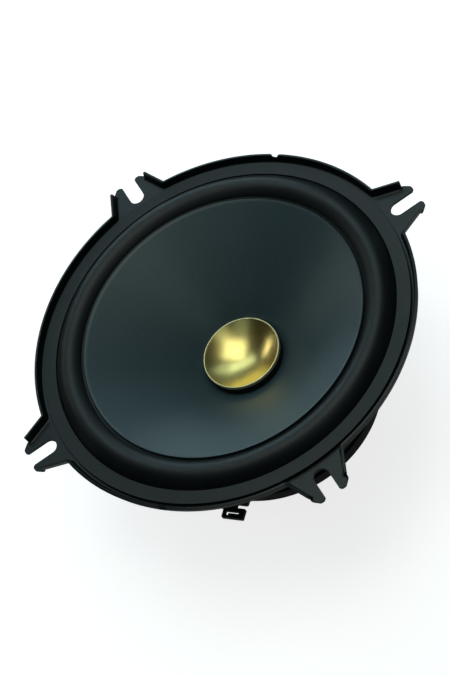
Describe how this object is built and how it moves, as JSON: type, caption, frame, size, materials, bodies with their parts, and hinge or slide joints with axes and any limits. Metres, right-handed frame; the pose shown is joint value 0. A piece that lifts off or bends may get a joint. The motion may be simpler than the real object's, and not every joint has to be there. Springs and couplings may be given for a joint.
{
  "type": "car door mid-bass loudspeaker",
  "caption": "Round car loudspeaker: pressed steel basket with slotted ears, rubber surround, dark cone, dished gold cap and a ring magnet motor.",
  "frame": {"origin": "centre of the flat back face of the back plate", "axes": "+Z along the cone's axis, out of the front; the four ears lie along +X, +Y, -X and -Y; the terminal board points between -X and -Y"},
  "size_m": [0.1532, 0.1532, 0.054],
  "materials": {
    "black_paint": "satin black powder paint on pressed steel",
    "black_rubber": "moulded butyl rubber, soft sheen",
    "cone_film": "mica-filled polypropylene, satin dark slate",
    "gold_anodise": "satin gold anodised",
    "black_paper": "dull black bonded paper",
    "former_film": "amber polyimide film",
    "coil_copper": "varnished copper wire",
    "spider_cloth": "phenolic-dipped cotton",
    "black_plating": "black plated steel",
    "ferrite": "sintered ferrite, dull dark grey",
    "board_black": "black fibre board",
    "tinned": "bright tin plate",
    "lead_braid": "braided copper tinsel"
  },
  "bodies": {
    "frame": {"pole_yoke": "black_plating", "magnet": "ferrite", "top_plate": "black_plating", "basket": "black_paint", "plate_rivet_1": "black_plating", "plate_rivet_2": "black_plating", "plate_rivet_3": "black_plating", "plate_rivet_4": "black_plating", "plate_rivet_5": "black_plating", "plate_rivet_6": "black_plating", "surround": "black_rubber", "gasket_ring": "black_rubber", "spider": "spider_cloth", "terminal_board": "board_black", "board_rivet_1": "tinned", "board_rivet_2": "tinned", "terminal_positive": "tinned", "terminal_negative": "tinned", "tag_rivet_positive": "tinned", "tag_rivet_negative": "tinned", "lead_positive": "lead_braid", "lead_negative": "lead_braid"},
    "cone_assembly": {"cone": "cone_film", "dust_cap": "gold_anodise", "former_collar": "black_paper", "voice_coil_former": "former_film", "voice_coil_winding": "coil_copper", "lead_pad_positive": "tinned", "lead_pad_negative": "tinned"}
  },
  "joints": [
    {"name": "cone_travel", "type": "slide", "parent": "frame", "child": "cone_assembly", "axis": [0, 0, 1], "range_m": [-0.0035, 0.0035], "stiffness_N_per_m": 1800, "deforming": ["surround", "spider", "lead_positive", "lead_negative"]}
  ]
}
